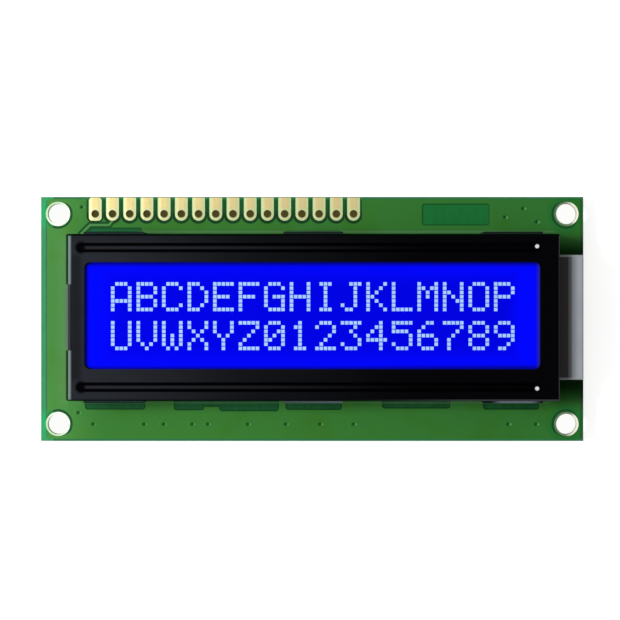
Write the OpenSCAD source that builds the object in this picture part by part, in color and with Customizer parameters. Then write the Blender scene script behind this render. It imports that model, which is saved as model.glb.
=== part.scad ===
// Character display module, two lines of sixteen characters.
// A liquid crystal cell sits in a folded steel bezel over an edge-lit backlight,
// and the bezel is held to the circuit board by tabs twisted behind it.
// The origin is the centre of the four mounting holes, on the board's rear face.
// +X runs right, +Y runs to the header row and +Z points out of the display.

/* [Circuit board] */
// Length of the board, left to right
board_w = 80; // [60:0.5:120]
// Height of the board, lower edge to upper edge
board_h = 36; // [31:0.5:50]
// Thickness of the board
board_t = 1.6; // [0.8:0.1:2]
// Diameter of the mounting holes, inside their plating
mount_hole_d = 3; // [2.5:0.1:3.2]
// Distance from a mounting hole's centre to the two edges next to it
mount_inset = 2.5; // [2.1:0.1:3]
// Width of the bare metal ring round a mounting hole
mount_ring = 0.3; // [0.2:0.05:0.5]
// Thickness of the copper pads, with their tin
pad_t = 0.05; // [0.03:0.01:0.1]
// Thickness of the plating in the holes
plating_t = 0.05; // [0.03:0.01:0.1]

/* [Header row] */
// Number of holes in the header row
pin_count = 16; // [14:1:16]
// Distance from hole to hole
pin_pitch = 2.54; // [2.3:0.01:2.6]
// Diameter of a header hole, inside its plating
pin_hole_d = 1; // [0.8:0.05:1.2]
// Distance from the board's left edge to the first hole
pin_start = 8; // [7:0.1:10]
// Distance from the board's upper edge to the holes
pin_inset = 2.5; // [2:0.1:2.8]
// Width of a header pad
pin_pad_w = 1.87; // [1.6:0.01:2]
// How far a header pad runs below its hole's centre
pin_pad_drop = 1; // [0.9:0.05:1.3]
// Bare strip between the header pads and the board's edge
pin_pad_margin = 0.1; // [0:0.05:0.4]
// Corner radius of the first pad, which is square to mark it
first_pad_r = 0.45; // [0.2:0.05:0.6]

/* [Bezel] */
// Distance from the board's left edge to the bezel
bezel_left = 4.45; // [4:0.05:6]
// Distance from the board's right edge to the bezel, which leaves room for the end block
bezel_right = 4.15; // [3:0.05:6]
// Distance from the board's lower edge to the bezel
bezel_below = 6.15; // [5:0.05:8]
// Distance from the board's upper edge to the bezel, which leaves room for the header row
bezel_above = 5.65; // [5:0.05:8]
// Height of the bezel's face above the board's front
bezel_rise = 8; // [7.6:0.1:9.5]
// Thickness of the steel sheet
sheet_t = 0.5; // [0.3:0.05:0.6]
// Inside radius of the folds
fold_r = 0.1; // [0.05:0.05:0.3]
// Gap between the folded sides and the board
skirt_gap = 1.2; // [0.6:0.1:2]

/* [Window] */
// Width of the bezel's face left of the window
window_left = 2.55; // [2.3:0.05:5]
// Width of the bezel's face right of the window
window_right = 2.85; // [2.3:0.05:5]
// Width of the bezel's face below the window
window_below = 4.6; // [3.8:0.05:6]
// Width of the bezel's face above the window
window_above = 4.1; // [3.8:0.05:6]
// Corner radius of the window
window_r = 0.9; // [0.5:0.1:1.5]

/* [Pressed grooves] */
// Width of the two long grooves at the face
groove_w = 1.45; // [1.2:0.05:1.6]
// Width of a groove's flat bottom
groove_floor_w = 0.4; // [0.2:0.05:0.6]
// Depth of the grooves, which also clamp the front glass
groove_depth = 0.35; // [0.3:0.05:0.5]
// Distance from the bezel's long edges to the grooves' centre lines
groove_inset = 2; // [1.9:0.05:2.2]
// Distance from the bezel's left edge to the grooves
groove_start = 1.4; // [1.2:0.1:4]
// Distance from the bezel's right edge to the grooves
groove_end = 2.6; // [1.2:0.1:4]

/* [Legs and tabs] */
// Width of a leg
leg_w = 8.6; // [6:0.1:10]
// Distance from the bezel's ends to the middle of the legs next to them
leg_inset = 6.7; // [6:0.1:9]
// How far a leg is set out from the side it hangs from
leg_step = 0.35; // [0.2:0.05:0.5]
// Height over which a leg is set out
leg_step_drop = 0.7; // [0.5:0.05:1]
// Width of the slits beside a leg
slit_w = 0.25; // [0.15:0.05:0.4]
// Width of a tab
tab_w = 2.4; // [1.8:0.1:3]
// How far the tabs reach behind the board
tab_reach = 1.9; // [1.8:0.1:3]
// Angle of the twist that locks a tab
tab_twist = 40; // [25:5:60]
// Height over which a tab twists
twist_drop = 0.7; // [0.5:0.05:1]
// Straight length of a tab between the board and its twist
twist_gap = 0.1; // [0.05:0.05:0.3]
// Clearance round a tab in its slot
slot_gap = 0.2; // [0.1:0.05:0.3]

/* [Display cell] */
// Thickness of each sheet of glass
glass_t = 1.1; // [0.7:0.1:1.2]
// Clearance between the front glass and the bezel's sides
glass_gap = 0.3; // [0.2:0.05:0.5]
// Height of the seal between the sheets, drawn thicker than its few microns
seal_t = 0.1; // [0.05:0.01:0.15]
// Width of the seal's line
seal_w = 0.8; // [0.5:0.1:1.2]
// Thickness of the polarizers
polarizer_t = 0.2; // [0.1:0.05:0.25]
// How far the front polarizer runs under the window's edge at each end
polarizer_lap = 0.75; // [0.5:0.05:0.9]
// Margin of bare glass round the rear polarizer
polarizer_margin = 0.3; // [0.2:0.05:0.6]
// Width of the rubber contact strips
strip_w = 1.8; // [1.4:0.1:1.9]
// Distance from the bezel's ends to the ends of the contact strips
strip_inset = 2.7; // [1:0.1:5]
// Clearance between the contact strips and what they run beside
strip_gap = 0.1; // [0.05:0.05:0.25]
// Number of contact pads under each strip
contact_count = 48; // [20:1:60]
// Width of a contact pad
contact_w = 0.75; // [0.4:0.05:0.9]

/* [Backlight] */
// Thickness of the light guide
guide_t = 3; // [2.4:0.1:3.4]
// Thickness of the diffuser and reflector films
film_t = 0.2; // [0.1:0.05:0.25]
// Wall of the white housing
housing_wall = 0.9; // [0.6:0.1:1.2]
// Clearance between the housing and the bezel's left side
housing_gap = 0.3; // [0.2:0.05:0.5]
// Distance from the housing's end block to the board's right edge
block_margin = 0.5; // [0.3:0.05:0.8]
// Thickness of the end block's roof
block_roof = 0.85; // [0.6:0.05:1]
// Radius of the end block's upper edges
block_edge_r = 0.3; // [0.1:0.05:0.5]
// Clearance between the end block and the bezel
block_gap = 0.2; // [0.1:0.05:0.4]
// Clearance of the parts that lie in the housing
fit_gap = 0.05; // [0.02:0.01:0.1]
// Number of light emitting diodes
led_count = 3; // [2:1:4]
// Length of a diode
led_l = 3; // [2:0.1:3.2]
// Height of a diode
led_h = 1.5; // [1:0.1:2]
// Depth of a diode
led_d = 1; // [0.8:0.1:1.1]
// Width of the rim round a diode's lens
led_rim = 0.2; // [0.1:0.05:0.3]
// Depth at which a diode's lens is set
lens_depth = 0.2; // [0.1:0.05:0.4]
// Thickness of the strip that the diodes sit on
led_board_t = 0.6; // [0.4:0.1:0.7]
// Side of the square leads
lead_w = 0.5; // [0.4:0.05:0.6]
// Distance between the two leads
lead_pitch = 10; // [5:0.5:12]
// How far the leads reach behind the board
lead_reach = 1; // [0.8:0.1:1.4]
// Clearance of a lead in its plated hole, at its corners
lead_gap = 0.05; // [0.02:0.01:0.1]
// Width of the pad's ring round a lead's hole
lead_ring = 0.45; // [0.3:0.05:0.6]

/* [Rear of the board] */
// Diameter of the resin over each bare chip
resin_d = 13; // [10:0.5:14]
// Height of the resin
resin_h = 1.6; // [1:0.1:1.7]
// Distance between the two drops of resin
resin_pitch = 26; // [22:0.5:30]
// Distance from the resin to the middle of the chip parts beside it
resin_side = 3; // [2.5:0.1:4]
// Distance from the resin to the middle of the chip parts below it
resin_below = 2.5; // [2:0.1:3]
// Length of the small chip parts
chip_l = 2; // [1.6:0.1:2.2]
// Width of the small chip parts
chip_w = 1.25; // [0.8:0.05:1.4]
// Height of the small chip parts
chip_h = 0.55; // [0.4:0.05:0.7]
// Length of the metal end on a chip part
cap_l = 0.35; // [0.25:0.05:0.5]
// How far a chip's pads show beyond its ends
chip_pad_lap = 0.4; // [0.2:0.05:0.5]
// How far a chip's pads show beside it
chip_pad_edge = 0.075; // [0.05:0.025:0.15]
// Distance between the five resistors of the ladder
ladder_pitch = 2.6; // [2:0.1:3]

/* [Hidden] */
$fn = 48;
over = 1; // how far a cut runs past the faces it opens

// Places on the board
mount_x = board_w / 2 - mount_inset;
mount_y = board_h / 2 - mount_inset;
pin_y = board_h / 2 - pin_inset;

// The bezel, with its centre from the board's, and the window, with its centre from the bezel's
bezel_w = board_w - bezel_left - bezel_right;
bezel_h = board_h - bezel_below - bezel_above;
bezel_x = (bezel_left - bezel_right) / 2;
bezel_y = (bezel_below - bezel_above) / 2;
window_w = bezel_w - window_left - window_right;
window_h = bezel_h - window_below - window_above;
window_x = (window_left - window_right) / 2;
window_y = (window_below - window_above) / 2;
leg_pitch = bezel_w / 2 - leg_inset;
strip_l = bezel_w - 2 * strip_inset;

// Heights, from the bezel's face down to the board
fold_out = fold_r + sheet_t;
face_z = board_t + bezel_rise;
fold_z = face_z - fold_out;
skirt_z = board_t + skirt_gap;
glass_top = face_z - sheet_t - groove_depth;
seal_top = glass_top - glass_t;
rear_top = seal_top - seal_t;
rear_low = rear_top - glass_t;
cell_low = rear_low - polarizer_t;
guide_top = cell_low - film_t;
guide_low = guide_top - guide_t;
floor_top = guide_low - film_t;
block_top = guide_top + block_roof;

// Half sizes across the display
glass_x = bezel_w / 2 - sheet_t - glass_gap;
glass_y = bezel_h / 2 - sheet_t - glass_gap;
strip_y = bezel_h / 2 - groove_inset;
inner_y = strip_y - strip_w / 2 - strip_gap;
polarizer_y = strip_y - groove_w / 2 - strip_gap;
slot_w = tab_w + 2 * slot_gap;
slot_h = sheet_t + 2 * slot_gap;

// The backlight, from the bezel's centre
housing_left = sheet_t + housing_gap - bezel_w / 2;
block_left = bezel_w / 2 - sheet_t - glass_gap / 2;
block_right = board_w / 2 - block_margin - bezel_x;
guide_y = inner_y - housing_wall - fit_gap;
guide_left = housing_left + housing_wall + fit_gap;
pocket_right = block_right - housing_wall;
lead_x = pocket_right - fit_gap - lead_w / 2;
led_board_x = lead_x - lead_w / 2 - led_board_t;
led_x = led_board_x - led_d;
guide_right = led_x - fit_gap;
led_z = (guide_top + guide_low) / 2;
lead_hole_d = norm([lead_w, lead_w]) + 2 * lead_gap;
lead_pad_d = lead_hole_d + 2 * lead_ring;

// The small parts behind the board, each as its place and its turn
beside_x = resin_pitch / 2 + resin_d / 2 + resin_side;
below_y = -resin_d / 2 - resin_below;
ladder_parts = [for (i = [-2:2]) [0, i * ladder_pitch, 0]];
clock_part = [[-beside_x, ladder_pitch, 90]];
lamp_parts = [for (i = [0, 1]) [beside_x + i * ladder_pitch, 0, 90]];
resistor_parts = concat(ladder_parts, clock_part, lamp_parts);
capacitor_parts = [
    [-beside_x, -ladder_pitch, 90],
    [-resin_pitch / 2, below_y, 0],
    [resin_pitch / 2, below_y, 0]
];

// Everything that belongs to the display is placed from the bezel's centre.
module at_bezel(z = 0) {
    translate([bezel_x, bezel_y, z]) children();
}

// A plate centred on X and Y, from z = 0 up.
module plate(w, h, t) {
    translate([-w / 2, -h / 2, 0]) cube([w, h, t]);
}

module rounded_rect(w, h, r) {
    square([w - 2 * r, h], center = true);
    square([w, h - 2 * r], center = true);
    for (x = [-1, 1], y = [-1, 1])
        translate([x * (w / 2 - r), y * (h / 2 - r)]) circle(r);
}

// Runs an outline drawn in Y and Z along X.
module run_x(length) {
    rotate([90, 0, 90])
        translate([0, 0, -length / 2])
            linear_extrude(length) children();
}

module at_mounting_holes() {
    for (x = [-mount_x, mount_x], y = [-mount_y, mount_y])
        translate([x, y, 0]) children();
}

// $pin is 0 at the first hole.
module at_pins() {
    for ($pin = [0:pin_count - 1])
        translate([pin_start - board_w / 2 + $pin * pin_pitch, pin_y, 0]) children();
}

module at_leads() {
    for (y = [-0.5, 0.5]) at_bezel() translate([lead_x, y * lead_pitch, 0]) children();
}

// Each leg's frame has +Y pointing out of the bezel, from its side's outer face.
module at_legs() {
    for (side = [0, 180], x = [-1, 0, 1])
        at_bezel() rotate(side) translate([x * leg_pitch, bezel_h / 2, 0]) children();
    at_bezel() rotate(90) translate([0, bezel_w / 2, 0]) children();
}

// A plated hole through the board, with its pad behind and, if asked, in front.
module plated_hole(d, front = true) {
    difference() {
        union() {
            translate([0, 0, -pad_t]) linear_extrude(pad_t) children();
            if (front) translate([0, 0, board_t]) linear_extrude(pad_t) children();
            cylinder(h = board_t, d = d + 2 * plating_t);
        }
        translate([0, 0, -over]) cylinder(h = board_t + 2 * over, d = d);
    }
}

module drill(d) {
    translate([0, 0, -over]) cylinder(h = board_t + 2 * over, d = d + 2 * plating_t);
}

// The board

module circuit_board() {
    color("#3f8a3a") difference() {
        plate(board_w, board_h, board_t);
        at_mounting_holes() drill(mount_hole_d);
        at_pins() drill(pin_hole_d);
        at_leads() drill(lead_hole_d);
        at_legs()
            translate([0, leg_step - sheet_t / 2, -over])
                plate(slot_w, slot_h, board_t + 2 * over);
    }
}

// The first pad has a square end, and the others are round below the hole.
module pin_pad() {
    reach = pin_inset - pin_pad_margin;
    if ($pin == 0)
        translate([0, (reach - pin_pad_drop) / 2])
            rounded_rect(pin_pad_w, reach + pin_pad_drop, first_pad_r);
    else {
        low = pin_pad_w / 2 - pin_pad_drop;
        translate([0, low]) circle(d = pin_pad_w);
        translate([-pin_pad_w / 2, low]) square([pin_pad_w, reach - low]);
    }
}

module header_pads() {
    color("#e6d9a0") at_pins() plated_hole(pin_hole_d) pin_pad();
}

module mounting_rings() {
    color("#ded6ae") at_mounting_holes()
        plated_hole(mount_hole_d) circle(d = mount_hole_d + 2 * mount_ring);
}

// The row of pads that one contact strip presses on.
module contact_row() {
    pitch = (strip_l - contact_w) / (contact_count - 1);
    for (i = [0:contact_count - 1])
        translate([i * pitch - strip_l / 2 + contact_w / 2, 0, board_t])
            plate(contact_w, strip_w, pad_t);
}

module upper_contacts() {
    color("#d8b45a") at_bezel() translate([0, strip_y, 0]) contact_row();
}

module lower_contacts() {
    color("#d8b45a") at_bezel() translate([0, -strip_y, 0]) contact_row();
}

// The bezel: one sheet of steel with pressed grooves, folded sides and legs

// Half of a groove's section, from its flat bottom out to the face. The wall
// between them is an S-bend, so that the sheet flows into the groove.
groove_steps = 6;
function groove_half(extra = 0) = [
    for (i = [0:groove_steps])
        let (u = i / groove_steps)
        [
            groove_floor_w / 2 + (groove_w - groove_floor_w) / 2 * u,
            -groove_depth * (1 + cos(180 * u)) / 2
        ],
    [groove_w / 2, extra], [0, extra], [0, -groove_depth]
];

// The body of a groove, below z = 0, or up to z = extra.
module groove(extra = 0) {
    x0 = groove_start + groove_w / 2 - bezel_w / 2;
    x1 = bezel_w / 2 - groove_end - groove_w / 2;
    for (x = [x0, x1]) translate([x, 0, 0]) rotate_extrude() polygon(groove_half(extra));
    translate([(x0 + x1) / 2, 0, 0]) run_x(x1 - x0) {
        polygon(groove_half(extra));
        mirror([1, 0]) polygon(groove_half(extra));
    }
}

module bezel_face() {
    difference() {
        union() {
            translate([0, 0, face_z - sheet_t])
                plate(bezel_w - 2 * fold_out, bezel_h - 2 * fold_out, sheet_t);
            for (y = [-strip_y, strip_y]) translate([0, y, face_z - sheet_t]) groove();
        }
        for (y = [-strip_y, strip_y]) translate([0, y, face_z]) groove(over);
        translate([window_x, window_y, face_z - sheet_t - over])
            linear_extrude(sheet_t + 2 * over) rounded_rect(window_w, window_h, window_r);
    }
}

// Section of a folded side, with the side's outer face on Y = 0.
module skirt_section() {
    translate([-fold_out, fold_z]) intersection() {
        difference() {
            circle(fold_out);
            circle(fold_r);
        }
        square(fold_out);
    }
    translate([-sheet_t, skirt_z]) square([sheet_t, fold_z - skirt_z]);
}

// Section of a leg, which bends outwards below the fold and stands on the board.
leg_steps = 8;
function leg_line(shift) = [
    for (i = [0:leg_steps])
        let (u = i / leg_steps)
        [leg_step * (1 - cos(180 * u)) / 2 - shift, fold_z - leg_step_drop * u]
];
function reversed(list) = [for (i = [len(list) - 1:-1:0]) list[i]];

module leg_section() {
    polygon(concat(
        leg_line(0),
        [[leg_step, board_t], [leg_step - sheet_t, board_t]],
        reversed(leg_line(sheet_t))
    ));
}

// A tab runs through its slot, then twists, so that its blade can't be drawn back.
module tab() {
    twist_end = twist_gap + twist_drop;
    translate([0, leg_step - sheet_t / 2, 0]) {
        translate([0, 0, -twist_gap]) plate(tab_w, sheet_t, board_t + twist_gap);
        translate([0, 0, -twist_end])
            rotate(tab_twist)
                linear_extrude(twist_drop, twist = tab_twist, slices = 8, $fn = 4)
                    square([tab_w, sheet_t], center = true);
        translate([0, 0, -tab_reach])
            rotate(tab_twist)
                plate(tab_w, sheet_t, tab_reach - twist_end);
    }
}

module leg() {
    run_x(leg_w) leg_section();
    tab();
}

// A folded side of the given length, open where its legs are.
module side(length, legs = []) {
    difference() {
        run_x(length) skirt_section();
        for (x = legs)
            translate([x, -sheet_t / 2, skirt_z - over])
                plate(leg_w + 2 * slit_w, sheet_t + 2 * over, fold_z - skirt_z + over);
    }
}

module bezel() {
    long_side = bezel_w - 2 * fold_out;
    short_side = bezel_h - 2 * fold_out;
    color("#17181c") union() {
        at_bezel() {
            bezel_face();
            for (turn = [0, 180])
                rotate(turn) translate([0, bezel_h / 2, 0])
                    side(long_side, [-leg_pitch, 0, leg_pitch]);
            rotate(90) translate([0, bezel_w / 2, 0]) side(short_side, [0]);
            // The right side has a low arch, which the backlight's end comes out through.
            difference() {
                rotate(-90) translate([0, bezel_w / 2, 0]) side(short_side);
                translate([bezel_w / 2, 0, 0])
                    plate(4 * fold_out, 2 * (inner_y + block_gap), block_top + block_gap);
            }
        }
        at_legs() leg();
    }
}

// The display cell

module front_polarizer() {
    color("#1020f0") at_bezel(glass_top)
        translate([window_x, 0, 0])
            plate(window_w + 2 * polarizer_lap, 2 * polarizer_y, polarizer_t);
}

module front_glass() {
    color("#cfe3e6", 0.5) at_bezel(seal_top) plate(2 * glass_x, 2 * glass_y, glass_t);
}

module cell_seal() {
    color("#d9d4c0") at_bezel(rear_top) difference() {
        plate(2 * glass_x, 2 * inner_y, seal_t);
        translate([0, 0, -over])
            plate(2 * (glass_x - seal_w), 2 * (inner_y - seal_w), seal_t + 2 * over);
    }
}

module rear_glass() {
    color("#cfe3e6", 0.5) at_bezel(rear_low) plate(2 * glass_x, 2 * inner_y, glass_t);
}

module rear_polarizer() {
    color("#27306e") at_bezel(cell_low)
        plate(2 * (glass_x - polarizer_margin), 2 * (inner_y - polarizer_margin), polarizer_t);
}

// A strip of layered rubber between the front glass's ledge and the board's pads.
module contact_strip() {
    low = board_t + pad_t;
    translate([0, 0, low]) plate(strip_l, strip_w, seal_top - low);
}

module upper_contact_strip() {
    color("#c9c4bd") at_bezel() translate([0, strip_y, 0]) contact_strip();
}

module lower_contact_strip() {
    color("#c9c4bd") at_bezel() translate([0, -strip_y, 0]) contact_strip();
}

// The backlight

// The part of the housing that stands out of the bezel, with rounded upper edges.
module end_block() {
    length = block_right - block_left;
    edge = block_edge_r;
    translate([(block_left + block_right) / 2, 0, 0]) run_x(length) {
        translate([-inner_y, board_t]) square([2 * inner_y, block_top - edge - board_t]);
        translate([edge - inner_y, board_t])
            square([2 * (inner_y - edge), block_top - board_t]);
        for (y = [-1, 1]) translate([y * (inner_y - edge), block_top - edge]) circle(edge);
    }
}

// A white tray for the light guide, with a roofed pocket for the diodes at its end.
module backlight_housing() {
    pocket_left = led_x - fit_gap;
    tray_y = guide_y + fit_gap;
    color("#e9e9ea") at_bezel() difference() {
        union() {
            translate([housing_left, -inner_y, board_t])
                cube([block_left - housing_left, 2 * inner_y, cell_low - board_t]);
            end_block();
        }
        translate([guide_left - fit_gap, -tray_y, floor_top])
            cube([block_left - guide_left + fit_gap, 2 * tray_y, cell_low - floor_top + over]);
        translate([block_left - over, -tray_y, floor_top])
            cube([pocket_left - block_left + over, 2 * tray_y, guide_top - floor_top]);
        translate([pocket_left, -tray_y, board_t - over])
            cube([pocket_right - pocket_left, 2 * tray_y, guide_top - board_t + over]);
    }
}

module light_guide() {
    color("#eef4f6", 0.6) at_bezel()
        translate([guide_left, -guide_y, guide_low])
            cube([guide_right - guide_left, 2 * guide_y, guide_t]);
}

// The diffuser ends at the block, and the reflector runs under the whole guide.
module diffuser_film() {
    color("#f4f4f2") at_bezel()
        translate([guide_left, -guide_y, guide_top])
            cube([block_left - fit_gap - guide_left, 2 * guide_y, film_t]);
}

module reflector_film() {
    color("#fbfbf8") at_bezel()
        translate([guide_left, -guide_y, floor_top])
            cube([guide_right - guide_left, 2 * guide_y, film_t]);
}

module led_strip() {
    color("#dfe3dc") at_bezel()
        translate([led_board_x, -guide_y, guide_low])
            cube([led_board_t, 2 * guide_y, guide_t]);
}

// Each diode has a lens set in its face, towards the light guide.
module backlight_leds() {
    lens_r = led_h / 2 - led_rim;
    pitch = 2 * guide_y / led_count;
    color("#f6f1cf") at_bezel()
        for (i = [0:led_count - 1])
            translate([led_x, (i - (led_count - 1) / 2) * pitch, led_z]) difference() {
                translate([0, -led_l / 2, -led_h / 2]) cube([led_d, led_l, led_h]);
                translate([-over, 0, 0]) rotate([0, 90, 0]) cylinder(h = over + lens_depth, r = lens_r);
            }
}

module backlight_leads() {
    color("#c9ccd0") at_leads()
        translate([0, 0, -lead_reach]) plate(lead_w, lead_w, lead_reach + led_z);
}

module lead_pads() {
    color("#d5d2c4") at_leads() plated_hole(lead_hole_d, false) circle(d = lead_pad_d);
}

// A cone of solder behind the board, round each lead.
module lead_solder() {
    rise = lead_reach * 0.7;
    color("#c4c7cb") at_leads() difference() {
        translate([0, 0, -pad_t]) mirror([0, 0, 1])
            cylinder(h = rise, d1 = lead_pad_d - lead_ring / 2, d2 = lead_hole_d);
        translate([0, 0, -pad_t - rise - over])
            plate(lead_w, lead_w, rise + 2 * over);
    }
}

// The parts behind the board

// A drop of black resin, which is the cap of a sphere.
module resin_drop() {
    r = (pow(resin_d / 2, 2) + pow(resin_h, 2)) / (2 * resin_h);
    intersection() {
        translate([0, 0, r - resin_h]) sphere(r, $fn = 120);
        translate([0, 0, -resin_h - over]) cylinder(h = resin_h + over, d = resin_d + over);
    }
}

module controller_resin() {
    color("#141416") translate([-resin_pitch / 2, 0, 0]) resin_drop();
}

module driver_resin() {
    color("#141416") translate([resin_pitch / 2, 0, 0]) resin_drop();
}

module at_chips(places) {
    for (p = places) translate([p[0], p[1], -pad_t]) rotate(p[2]) children();
}

module chip_body() {
    translate([0, 0, -chip_h]) plate(chip_l - 2 * cap_l, chip_w, chip_h);
}

module chip_resistors() {
    color("#1d1f24") at_chips(resistor_parts) chip_body();
}

module chip_capacitors() {
    color("#b08d62") at_chips(capacitor_parts) chip_body();
}

module chip_ends() {
    color("#cfd2d6") at_chips(concat(resistor_parts, capacitor_parts))
        for (x = [-1, 1])
            translate([x * (chip_l - cap_l) / 2, 0, -chip_h]) plate(cap_l, chip_w, chip_h);
}

module chip_pads() {
    pad_l = cap_l + chip_pad_lap;
    color("#c8cacc") at_chips(concat(resistor_parts, capacitor_parts))
        for (x = [-1, 1])
            translate([x * (chip_l / 2 - cap_l + pad_l / 2), 0, 0])
                plate(pad_l, chip_w + 2 * chip_pad_edge, pad_t);
}

circuit_board();
header_pads();
mounting_rings();
upper_contacts();
lower_contacts();
bezel();
front_polarizer();
front_glass();
cell_seal();
rear_glass();
rear_polarizer();
upper_contact_strip();
lower_contact_strip();
backlight_housing();
light_guide();
diffuser_film();
reflector_film();
led_strip();
backlight_leds();
backlight_leads();
lead_pads();
lead_solder();
controller_resin();
driver_resin();
chip_resistors();
chip_capacitors();
chip_ends();
chip_pads();
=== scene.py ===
import math

import bmesh
import bpy
from mathutils import Matrix, Vector


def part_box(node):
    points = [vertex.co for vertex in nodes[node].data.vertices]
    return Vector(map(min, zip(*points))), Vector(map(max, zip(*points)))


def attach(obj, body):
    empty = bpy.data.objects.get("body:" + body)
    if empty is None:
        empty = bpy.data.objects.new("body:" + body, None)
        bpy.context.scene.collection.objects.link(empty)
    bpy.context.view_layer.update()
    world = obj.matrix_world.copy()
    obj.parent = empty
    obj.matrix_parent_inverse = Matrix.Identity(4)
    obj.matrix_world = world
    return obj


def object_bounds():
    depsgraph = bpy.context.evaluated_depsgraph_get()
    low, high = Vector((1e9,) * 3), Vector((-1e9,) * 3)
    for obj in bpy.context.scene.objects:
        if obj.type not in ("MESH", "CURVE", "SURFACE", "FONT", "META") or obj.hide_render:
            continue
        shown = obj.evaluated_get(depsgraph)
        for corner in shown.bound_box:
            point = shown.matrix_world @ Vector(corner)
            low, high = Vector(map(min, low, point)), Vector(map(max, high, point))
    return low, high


# Character display module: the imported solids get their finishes, and the lit characters,
# the bezel's corners, the paths behind the board and the solder of its chips are added.
# All lengths in the dictionaries are millimetres, and colours are screen values from 0 to 255.

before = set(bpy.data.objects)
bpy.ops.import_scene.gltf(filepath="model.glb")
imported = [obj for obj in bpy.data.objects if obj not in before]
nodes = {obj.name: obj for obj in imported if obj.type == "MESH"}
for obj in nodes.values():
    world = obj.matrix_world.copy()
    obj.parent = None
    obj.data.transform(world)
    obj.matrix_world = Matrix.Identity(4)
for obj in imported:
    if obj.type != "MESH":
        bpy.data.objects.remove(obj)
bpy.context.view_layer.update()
mm = 0.001
skin = 0.03  # how far below a face its own colour still shows, in millimetres
print("frame loaded:", len(nodes), "nodes")


def colour(red, green, blue):
    # screen colour to the linear one that shaders use
    linear = []
    for level in (red, green, blue):
        share = level / 255
        linear.append(share / 12.92 if share <= 0.04045 else ((share + 0.055) / 1.055) ** 2.4)
    return (*linear, 1)


def boxOf(name):
    low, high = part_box(name)
    return low / mm, high / mm


# shader maths

class Wire:
    # one output of a node; arithmetic on it adds Math nodes
    def __init__(self, tree, socket):
        self.tree = tree
        self.socket = socket

    def maths(self, operation, *values):
        return self.tree.add("ShaderNodeMath", {"operation": operation}, dict(enumerate(values)))

    def __add__(self, other):
        return self.maths("ADD", self, other)

    __radd__ = __add__

    def __sub__(self, other):
        return self.maths("SUBTRACT", self, other)

    def __rsub__(self, other):
        return self.maths("SUBTRACT", other, self)

    def __mul__(self, other):
        return self.maths("MULTIPLY", self, other)

    __rmul__ = __mul__

    def __truediv__(self, other):
        return self.maths("DIVIDE", self, other)

    def __mod__(self, other):
        return self.maths("FLOORED_MODULO", self, other)

    def __abs__(self):
        return self.maths("ABSOLUTE", self)

    def __lt__(self, other):
        return self.maths("LESS_THAN", self, other)

    def __gt__(self, other):
        return self.maths("GREATER_THAN", self, other)


def least(first, *others):
    for other in others:
        first = first.maths("MINIMUM", first, other)
    return first


def most(first, *others):
    for other in others:
        first = first.maths("MAXIMUM", first, other)
    return first


def fade(value, start, end):
    # 0 at start, 1 at end, eased between them
    settings = {"interpolation_type": "SMOOTHSTEP"}
    return value.tree.add("ShaderNodeMapRange", settings, {0: value, 1: start, 2: end})


def diagonal(along, across):
    square = along * along + across * across
    return square.maths("SQRT", square)


class Tree:
    # the nodes of a material or world, all made through add
    def __init__(self, owner):
        owner.use_nodes = True
        self.nodeTree = owner.node_tree
        self.nodeTree.nodes.clear()

    def add(self, kind, settings=None, sockets=None, out=0):
        node = self.nodeTree.nodes.new(kind)
        for name, value in (settings or {}).items():
            setattr(node, name, value)
        for name, value in (sockets or {}).items():
            if isinstance(value, Wire):
                self.nodeTree.links.new(value.socket, node.inputs[name])
            else:
                node.inputs[name].default_value = value
        return Wire(self, node.outputs[out]) if node.outputs else None


class Finish(Tree):
    # a material that knows where it is, in millimetres
    def __init__(self, name):
        self.material = bpy.data.materials.new(name)
        super().__init__(self.material)
        place = self.add("ShaderNodeTexCoord", out="Object")
        scaled = {"operation": "SCALE"}
        self.place = self.add("ShaderNodeVectorMath", scaled, {0: place, "Scale": 1 / mm})
        split = self.add("ShaderNodeSeparateXYZ", None, {0: self.place}).socket.node
        self.x, self.y, self.z = (Wire(self, output) for output in split.outputs)

    def noise(self, scale, detail=2, stretch=None):
        # scale is in waves per millimetre
        place = self.place
        if stretch:
            place = self.add("ShaderNodeMapping", None, {"Vector": place, "Scale": stretch})
        sockets = {"Vector": place, "Scale": scale, "Detail": detail, "Roughness": 0.5}
        return self.add("ShaderNodeTexNoise", None, sockets)

    def speckle(self, scale):
        return self.add("ShaderNodeTexVoronoi", None, {"Vector": self.place, "Scale": scale})

    def mix(self, factor, first, second, mode="MIX"):
        # each of the two is a wire or a screen colour
        first, second = (item if isinstance(item, Wire) else colour(*item) for item in (first, second))
        settings = {"data_type": "RGBA", "blend_type": mode}
        return self.add("ShaderNodeMix", settings, {0: factor, 6: first, 7: second}, 2)

    def bump(self, height, depth):
        # depth is the real height in millimetres of a height of 1
        return self.add("ShaderNodeBump", None, {"Height": height, "Distance": depth * mm, "Strength": 1})

    def surface(self, sockets, dull=None):
        # where dull is 1 there is no gloss over the colour
        shader = self.add("ShaderNodeBsdfPrincipled", None, sockets)
        if dull is not None:
            plain = {"Base Color": sockets["Base Color"], "Roughness": 1, "Specular IOR Level": 0}
            plain = self.add("ShaderNodeBsdfPrincipled", None, plain)
            shader = self.add("ShaderNodeMixShader", None, {0: dull, 1: shader, 2: plain})
        self.add("ShaderNodeOutputMaterial", None, {"Surface": shader})
        return self.material


def dress(material, *names):
    # solids take a finish on their own material slots
    for name in names:
        for slot in nodes[name].material_slots:
            slot.material = material


def addObject(name, data):
    made = bpy.data.objects.new(name, data)
    bpy.context.scene.collection.objects.link(made)
    return made


def addShape(name, shape, material):
    # an object from a bmesh drawn in millimetres
    bmesh.ops.scale(shape, vec=(mm, mm, mm), verts=shape.verts)
    mesh = bpy.data.meshes.new(name)
    shape.to_mesh(mesh)
    shape.free()
    mesh.materials.append(material)
    return addObject(name, mesh)


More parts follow.
